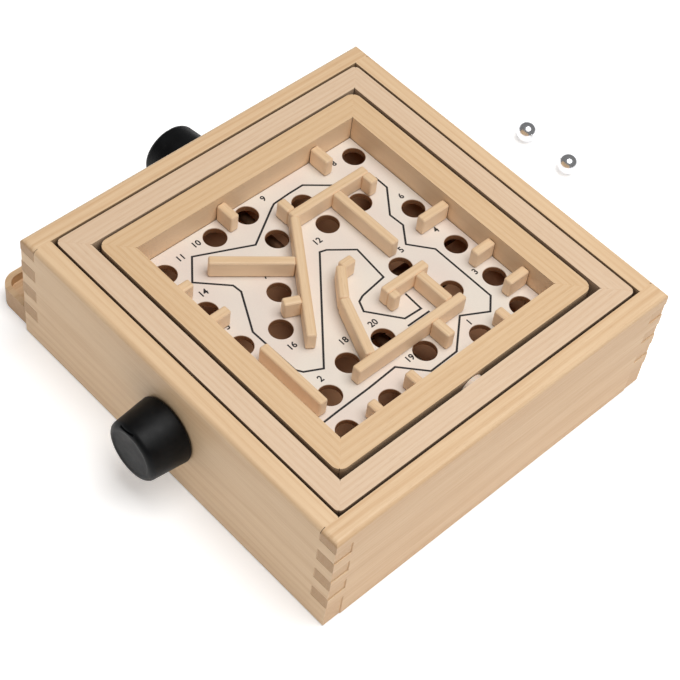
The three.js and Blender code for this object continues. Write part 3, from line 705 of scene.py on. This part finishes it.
def strip_build(start, end):
    def build(shape):
        first, last = Vector(start), Vector(end)
        along = (last - first).normalized()
        across = Vector((-along.y, along.x)) * STRIP_WIDTH / 2
        length = (last - first).length
        parts = max(2, round(length / 6))
        rows = []
        for k in range(parts + 1):
            centre = first.lerp(last, k / parts)
            corners = (centre + across, centre - across)
            rows.append([shape.verts.new((v.x * MM, v.y * MM, z * MM))
                         for v, z in ((corners[0], STRIP_TOP), (corners[1], STRIP_TOP),
                                      (corners[1], STRIP_BOTTOM), (corners[0], STRIP_BOTTOM))])
        for one, two in zip(rows, rows[1:]):
            for k in range(4):
                shape.faces.new((one[k], one[(k + 1) % 4], two[(k + 1) % 4], two[k]))
        shape.faces.new(rows[0])
        shape.faces.new(rows[-1])
    return build


def strip_wood(name, angle):
    shift = (RANDOM.uniform(-80, 80), RANDOM.uniform(20, 60), RANDOM.uniform(-110, -70))
    # The strips' side faces are mixed strongly towards a paler tone: painted light. They take no painted
    # gap shade.
    return wood(name, STRIP_PALE, STRIP_DEEP, STRIP_END, angle, shift, 2.2, 0.7, painted_gap_shade=0.0, painted_side_weight=0.9)


def make_strips():
    straight = {"x": strip_wood("strip_wood_x", 0), "y": strip_wood("strip_wood_y", QUARTER)}
    for name, (x0, y0, x1, y1) in STRIPS.items():
        angle = math.atan2(y1 - y0, x1 - x0)
        if abs(x1 - x0) < 0.01:
            material = straight["y"]
        elif abs(y1 - y0) < 0.01:
            material = straight["x"]
        else:
            material = strip_wood(f"strip_wood_{name}", angle)
        mesh = mesh_from(f"strip_{name}", strip_build((x0, y0), (x1, y1)))
        group = name.split("_")[0]
        first_of_group = name in ("left_long", "diagonal_long", "right_long", "front")
        replaced = [STRIP_NODES[group]] if first_of_group else []
        if group == "stub":
            replaced = [f"maze_{name}"]
        piece = new_piece(f"strip_{name}", mesh, "board", "strip_wood", *replaced)
        paint(piece, material)
        soften(piece, STRIP_ROUND)
    for index, (start, end) in enumerate(zip(BENT_STRIP, BENT_STRIP[1:])):
        name = f"strip_right_bent_{index + 1}"
        mesh = mesh_from(name, strip_build(start, end))
        piece = new_piece(name, mesh, "board", "strip_wood")
        angle = math.atan2(end[1] - start[1], end[0] - start[0])
        paint(piece, strip_wood(f"strip_wood_bent_{index + 1}", angle))
        soften(piece, STRIP_ROUND)


# ---------------------------------------------------------------- knobs and balls

KNOB_LENGTH = 21.0
KNOB_BASE_RADIUS = 17.0
KNOB_END_RADIUS = 15.3
KNOB_ROUND = 3.0
KNOB_SIDES = 96
KNOB_FOOT = 0.9
SHAFT_HOLE_RADIUS = 2.8
SHAFT_HOLE_DEPTH = 13.0
MARK_LENGTH = 9.0
MARK_WIDTH = 1.0
MARK_DEPTH = 1.6
MARK_OUT = KNOB_END_RADIUS - 1.7
MARK_ANGLE = math.pi / 14


def knob_profile():
    """(radius, distance out from the case) from the rim of the shaft hole to the end's centre."""
    points = [(SHAFT_HOLE_RADIUS, 0), (KNOB_BASE_RADIUS - KNOB_FOOT, 0),
              (KNOB_BASE_RADIUS - 0.25, 0.25), (KNOB_BASE_RADIUS, KNOB_FOOT)]
    steps = 8
    centre = KNOB_END_RADIUS - KNOB_ROUND
    for k in range(steps + 1):
        angle = k / steps * QUARTER
        points.append((centre + KNOB_ROUND * math.cos(angle),
                       KNOB_LENGTH - KNOB_ROUND + KNOB_ROUND * math.sin(angle)))
    points += [(11.6, KNOB_LENGTH - 0.05), (11.1, KNOB_LENGTH - 0.35), (6, KNOB_LENGTH - 0.5),
               (0, KNOB_LENGTH - 0.5)]
    return points


def knob_build(shape):
    """The knob along +Z, its outer end up, with a closed shaft hole below."""
    profile = [(0, SHAFT_HOLE_DEPTH), (SHAFT_HOLE_RADIUS, SHAFT_HOLE_DEPTH)] + knob_profile()
    rings = []
    for radius, height in profile:
        if radius == 0:
            rings.append([shape.verts.new((0, 0, height * MM))])
            continue
        rings.append([shape.verts.new((radius * MM * math.cos(2 * math.pi * k / KNOB_SIDES),
                                       radius * MM * math.sin(2 * math.pi * k / KNOB_SIDES),
                                       height * MM)) for k in range(KNOB_SIDES)])
    for lower, upper in zip(rings, rings[1:]):
        for k in range(KNOB_SIDES):
            following = (k + 1) % KNOB_SIDES
            if len(lower) == 1:
                shape.faces.new((lower[0], upper[k], upper[following]))
            elif len(upper) == 1:
                shape.faces.new((lower[k], lower[following], upper[0]))
            else:
                shape.faces.new((lower[k], lower[following], upper[following], upper[k]))


def slot_cutter():
    """A bar that cuts the pointer slot across the outer face's rim."""
    def build(shape):
        turn = Matrix.Rotation(MARK_ANGLE, 4, "Z")
        place = turn @ Matrix.Translation((MARK_OUT * MM, 0, (KNOB_LENGTH + 1 - MARK_DEPTH / 2) * MM))
        size = Matrix.Diagonal((MARK_WIDTH * MM, MARK_LENGTH * MM, (MARK_DEPTH + 2) * MM, 1))
        bmesh.ops.create_cube(shape, size=1, matrix=place @ size)
    return mesh_from("slot", build)


def make_knob(side, body, turn):
    low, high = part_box(f"knob_{side}")
    centre = (low + high) / 2
    if side == "front":
        centre.y = high.y
    else:
        centre.x = high.x
    mesh = mesh_from(f"{side}_knob_moulding", knob_build)
    cutter = bpy.data.objects.new("slot", slot_cutter())
    holder = bpy.data.objects.new("holder", mesh)
    for temporary in (cutter, holder):
        bpy.context.scene.collection.objects.link(temporary)
    cut = holder.modifiers.new("cut", "BOOLEAN")
    cut.object = cutter
    cut.solver = "EXACT"
    bpy.context.view_layer.update()
    depsgraph = bpy.context.evaluated_depsgraph_get()
    result = bpy.data.meshes.new_from_object(holder.evaluated_get(depsgraph))
    result.name = f"{side}_knob_moulding"
    for temporary in (cutter, holder):
        bpy.data.objects.remove(temporary)
    result.transform(Matrix.Translation(centre) @ turn)
    piece = new_piece(f"{side}_knob_moulding", result, body, "knob_plastic", f"knob_{side}")
    paint(piece, black_plastic)
    result.shade_smooth()
    bevel = piece.modifiers.new("bevel", "BEVEL")
    bevel.width = 0.2 * MM
    bevel.segments = 2
    bevel.limit_method = "ANGLE"
    bevel.angle_limit = math.radians(40)
    weighted = piece.modifiers.new("weighted", "WEIGHTED_NORMAL")
    weighted.keep_sharp = False


def make_knobs():
    # The knob's own +Z turns to point away from the case, and its pointer up.
    make_knob("front", "front_knob", Matrix(((0, -1, 0, 0), (0, 0, -1, 0), (1, 0, 0, 0), (0, 0, 0, 1))))
    make_knob("left", "left_knob", Matrix(((0, 0, -1, 0), (0, 1, 0, 0), (1, 0, 0, 0), (0, 0, 0, 1))))


def make_balls():
    for index, body in ((1, "ball_one"), (2, "ball_two")):
        low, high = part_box(f"ball_{index}")
        centre = (low + high) / 2

        def build(shape):
            bmesh.ops.create_icosphere(shape, subdivisions=5, radius=BALL_RADIUS * MM,
                                       matrix=Matrix.Translation(centre))
        mesh = mesh_from(f"polished_ball_{index}", build)
        piece = new_piece(f"polished_ball_{index}", mesh, body, "ball_steel", f"ball_{index}")
        paint(piece, ball_steel)


# ---------------------------------------------------------------- stage

def make_floor():
    def build(shape):
        bmesh.ops.create_grid(shape, x_segments=1, y_segments=1, size=FLOOR_HALF)
    floor = bpy.data.objects.new("floor", mesh_from("floor", build))
    bpy.context.scene.collection.objects.link(floor)
    floor.location.z = -FLOOR_DROP
    paint(floor, floor_surface("floor_surface"))


def make_lights():
    world = bpy.data.worlds.new("studio")
    bpy.context.scene.world = world
    world.use_nodes = True
    background = world.node_tree.nodes["Background"]
    background.inputs["Color"].default_value = (1, 1, 1, 1)
    background.inputs["Strength"].default_value = WORLD_STRENGTH
    light = bpy.data.lights.new("key", "AREA")
    light.shape = "DISK"
    light.size = KEY_SIZE
    light.energy = KEY_POWER
    lamp = bpy.data.objects.new("key", light)
    bpy.context.scene.collection.objects.link(lamp)
    lamp.location = KEY_PLACE
    lamp.rotation_euler = (-Vector(KEY_PLACE)).to_track_quat("-Z", "Y").to_euler()


def make_camera():
    forward = Vector((-math.sin(AZIMUTH) * math.cos(ELEVATION), math.cos(AZIMUTH) * math.cos(ELEVATION),
                      -math.sin(ELEVATION)))
    level = forward.cross(Vector((0, 0, 1))).normalized()
    above = level.cross(forward)
    right = level * math.cos(ROLL) + above * math.sin(ROLL)
    up = above * math.cos(ROLL) - level * math.sin(ROLL)
    camera_data = bpy.data.cameras.new("camera")
    camera_data.lens = LENS
    camera_data.sensor_width = SENSOR_WIDTH
    camera_data.clip_start = 0.01
    camera = bpy.data.objects.new("camera", camera_data)
    bpy.context.scene.collection.objects.link(camera)
    pose = Matrix((right, up, -forward)).transposed().to_4x4()
    pose.translation = (TARGET - forward * DISTANCE) * MM
    camera.matrix_world = pose
    bpy.context.scene.camera = camera


bpy.context.scene.view_settings.view_transform = "Standard"
make_camera()
make_floor()
make_lights()
dress_case()
dress_frames()
make_glue()
dress_fittings()
make_board()
make_print()
make_strips()
make_knobs()
make_balls()
